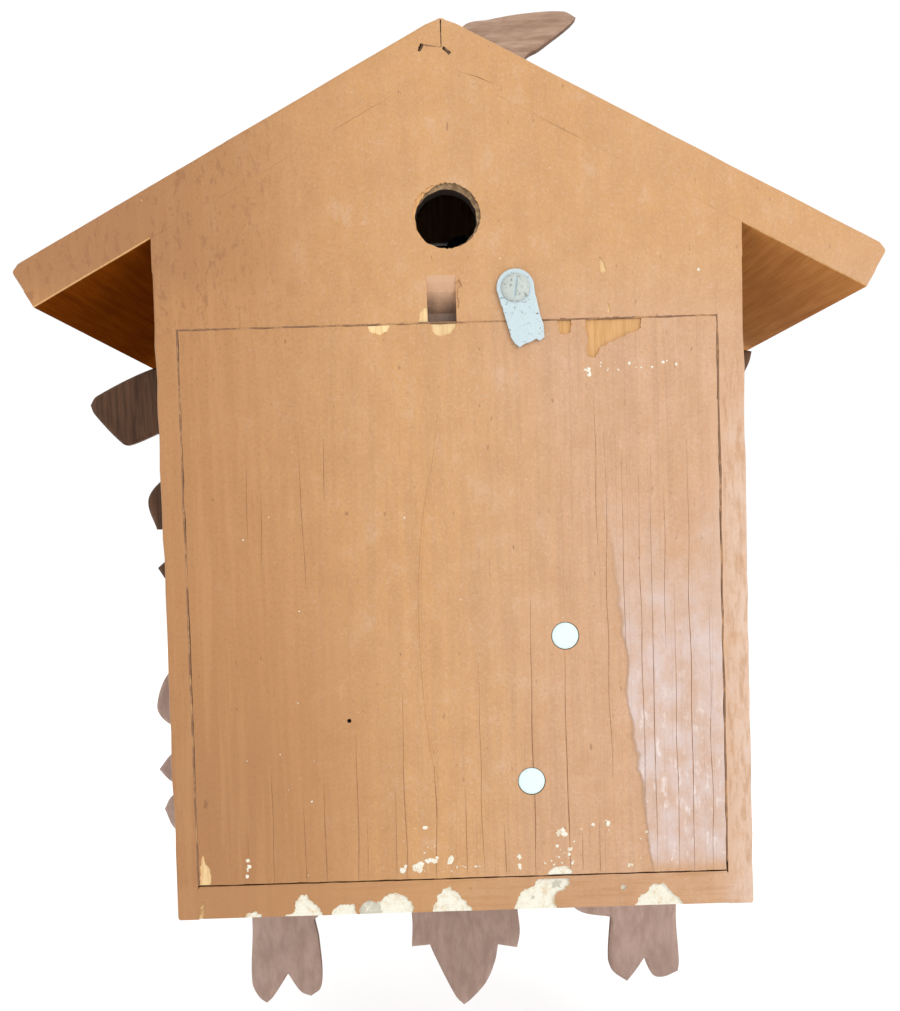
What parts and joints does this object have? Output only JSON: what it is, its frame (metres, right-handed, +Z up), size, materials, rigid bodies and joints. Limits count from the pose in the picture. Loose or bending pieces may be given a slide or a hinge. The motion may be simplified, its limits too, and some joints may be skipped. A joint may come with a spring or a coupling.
{
  "type": "cuckoo clock",
  "caption": "Small chalet-shaped cuckoo clock with a chain-driven movement, pivoting back door, gong, bellows, cuckoo and carved leaves round the dial.",
  "frame": {"origin": "centre of the round hanging hole, on the rear plane that lies against the wall", "axes": "+Z up, +Y out of the back towards the wall, -Y out of the dial, +X to the right as seen from the front"},
  "size_m": [0.2099, 0.1273, 0.3126],
  "materials": {
    "painted_wood": "thick old orange-brown paint over pine, chipped and cracked along the grain",
    "roof_wood": "orange-brown paint worn thin at the eaves",
    "carved_wood": "dark brown stain, carved",
    "inner_wood": "bare softwood",
    "dial_wood": "dark stained and waxed",
    "hand_plastic": "ivory, slightly aged",
    "zinc": "dull blue-grey zinc with dark specks",
    "rivet_paint": "pale blue-white paint",
    "steel": "plain drawn wire and bar, slightly tarnished",
    "brass": "stamped brass, slightly tarnished",
    "gong_iron": "black lacquer",
    "bird_paint": "blue-grey paint with a pale breast",
    "bellows_cloth": "thin off-white bellows cloth"
  },
  "bodies": {
    "case": {"side_panel_left": "painted_wood", "side_panel_right": "painted_wood", "base_board": "painted_wood", "front_board": "painted_wood", "gable_board": "painted_wood", "roof_board_left": "roof_wood", "roof_board_right": "roof_wood", "ridge_staple": "steel", "latch_screw": "zinc", "door_nail_left": "steel", "door_nail_right": "steel", "top_bird": "carved_wood", "upper_leaf_left": "carved_wood", "upper_leaf_right": "carved_wood", "lower_leaf_left": "carved_wood", "lower_leaf_right": "carved_wood", "bottom_leaf": "carved_wood", "dial": "dial_wood", "cuckoo_door_hinge": "steel", "movement_back_plate": "brass", "movement_front_plate": "brass", "plate_pillar_1": "steel", "plate_pillar_2": "steel", "plate_pillar_3": "steel", "plate_pillar_4": "steel", "whistle_left": "inner_wood", "whistle_right": "inner_wood", "bellows_left": "bellows_cloth", "bellows_right": "bellows_cloth"},
    "back_door": {"back_door": "painted_wood", "gong_block": "gong_iron", "gong_coil": "gong_iron", "gong_rivet_lower": "rivet_paint", "gong_rivet_upper": "rivet_paint"},
    "door_latch": {"door_latch": "zinc"},
    "cuckoo_door": {"cuckoo_door": "carved_wood"},
    "bird_arm": {"bird_arm": "inner_wood", "cuckoo_bird": "bird_paint"},
    "minute_hand": {"minute_hand": "hand_plastic", "hand_nut": "brass", "cannon_pinion": "brass"},
    "minute_wheel": {"minute_wheel": "brass"},
    "hour_hand": {"hour_hand": "hand_plastic", "hour_wheel": "brass"},
    "third_wheel": {"third_wheel": "brass"},
    "escape_wheel": {"escape_wheel": "brass"},
    "centre_wheel": {"centre_wheel": "brass"},
    "time_great_wheel": {"time_great_wheel": "brass"},
    "pendulum_leader": {"pendulum_leader": "steel", "anchor": "steel"},
    "warning_wheel": {"warning_wheel": "brass"},
    "fly": {"fly": "brass"},
    "pin_wheel": {"pin_wheel": "brass"},
    "strike_great_wheel": {"strike_great_wheel": "brass", "count_wheel": "brass"},
    "gong_hammer": {"gong_hammer": "steel"},
    "bellows_lid_left": {"bellows_lid_left": "inner_wood", "lift_wire_left": "steel"},
    "bellows_lid_right": {"bellows_lid_right": "inner_wood", "lift_wire_right": "steel"}
  },
  "joints": [
    {"name": "back_door_tilt", "type": "hinge", "parent": "case", "child": "back_door", "pos_m": [0, -0.0016, -0.1504], "axis": [-1, 0, 0], "range_deg": [0, 80], "deforming": ["door_latch"]},
    {"name": "door_latch_turn", "type": "hinge", "parent": "case", "child": "door_latch", "pos_m": [-0.0152, 0, -0.0169], "axis": [0, 1, 0], "range_deg": [-110, 110]},
    {"name": "bird_arm_swing", "type": "hinge", "parent": "case", "child": "bird_arm", "pos_m": [0.03, -0.07415, -0.0097], "axis": [0, 0, 1], "range_deg": [0, 54]},
    {"name": "cuckoo_door_swing", "type": "hinge", "parent": "case", "child": "cuckoo_door", "pos_m": [-0.011, -0.0934, 0], "axis": [0, 0, -1], "range_deg": [0, 91]},
    {"name": "minute_hand_turn", "type": "hinge", "parent": "case", "child": "minute_hand", "pos_m": [0, -0.09, -0.085], "axis": [0, 1, 0], "continuous": true},
    {"name": "minute_wheel_turn", "type": "hinge", "parent": "case", "child": "minute_wheel", "pos_m": [-0.012, -0.079, -0.085], "axis": [0, 1, 0], "continuous": true},
    {"name": "hour_hand_turn", "type": "hinge", "parent": "case", "child": "hour_hand", "pos_m": [0, -0.09, -0.085], "axis": [0, 1, 0], "continuous": true},
    {"name": "third_wheel_turn", "type": "hinge", "parent": "case", "child": "third_wheel", "pos_m": [-0.008, -0.056, -0.07057], "axis": [0, 1, 0], "continuous": true},
    {"name": "escape_wheel_turn", "type": "hinge", "parent": "case", "child": "escape_wheel", "pos_m": [0, -0.049, -0.05717], "axis": [0, 1, 0], "continuous": true},
    {"name": "centre_wheel_turn", "type": "hinge", "parent": "case", "child": "centre_wheel", "pos_m": [0, -0.063, -0.085], "axis": [0, 1, 0], "continuous": true},
    {"name": "time_great_wheel_turn", "type": "hinge", "parent": "case", "child": "time_great_wheel", "pos_m": [-0.0195, -0.0695, -0.0928], "axis": [0, 1, 0], "continuous": true},
    {"name": "pendulum_swing", "type": "hinge", "parent": "case", "child": "pendulum_leader", "pos_m": [0, -0.049, -0.0406], "axis": [0, 1, 0], "range_deg": [-4, 4]},
    {"name": "warning_wheel_turn", "type": "hinge", "parent": "case", "child": "warning_wheel", "pos_m": [0.01504, -0.062, -0.06043], "axis": [0, 1, 0], "continuous": true},
    {"name": "fly_turn", "type": "hinge", "parent": "case", "child": "fly", "pos_m": [0.02354, -0.069, -0.05377], "axis": [0, 1, 0], "continuous": true},
    {"name": "pin_wheel_turn", "type": "hinge", "parent": "case", "child": "pin_wheel", "pos_m": [0.02207, -0.051, -0.07196], "axis": [0, 1, 0], "continuous": true},
    {"name": "strike_great_wheel_turn", "type": "hinge", "parent": "case", "child": "strike_great_wheel", "pos_m": [0.0195, -0.057, -0.0928], "axis": [0, 1, 0], "continuous": true},
    {"name": "gong_hammer_swing", "type": "hinge", "parent": "case", "child": "gong_hammer", "pos_m": [0.012, -0.045, -0.044], "axis": [0, -1, 0], "range_deg": [0, 12]},
    {"name": "bellows_lid_left_lift", "type": "hinge", "parent": "case", "child": "bellows_lid_left", "pos_m": [-0.0505, -0.082, -0.05], "axis": [1, 0, 0], "range_deg": [0, 14], "deforming": ["bellows_left"]},
    {"name": "bellows_lid_right_lift", "type": "hinge", "parent": "case", "child": "bellows_lid_right", "pos_m": [0.0505, -0.082, -0.05], "axis": [1, 0, 0], "range_deg": [0, 14], "deforming": ["bellows_right"]}
  ],
  "couplings": [
    {"joint": "cuckoo_door_swing", "follows": "bird_arm_swing", "ratio": 1.6667},
    {"joint": "minute_wheel_turn", "follows": "minute_hand_turn", "ratio": -0.33333},
    {"joint": "hour_hand_turn", "follows": "minute_hand_turn", "ratio": 0.083333},
    {"joint": "escape_wheel_turn", "follows": "third_wheel_turn", "ratio": -12},
    {"joint": "centre_wheel_turn", "follows": "third_wheel_turn", "ratio": -0.1},
    {"joint": "time_great_wheel_turn", "follows": "third_wheel_turn", "ratio": 0.016667},
    {"joint": "fly_turn", "follows": "warning_wheel_turn", "ratio": -7},
    {"joint": "pin_wheel_turn", "follows": "warning_wheel_turn", "ratio": -0.125},
    {"joint": "strike_great_wheel_turn", "follows": "warning_wheel_turn", "ratio": 0.020833}
  ]
}
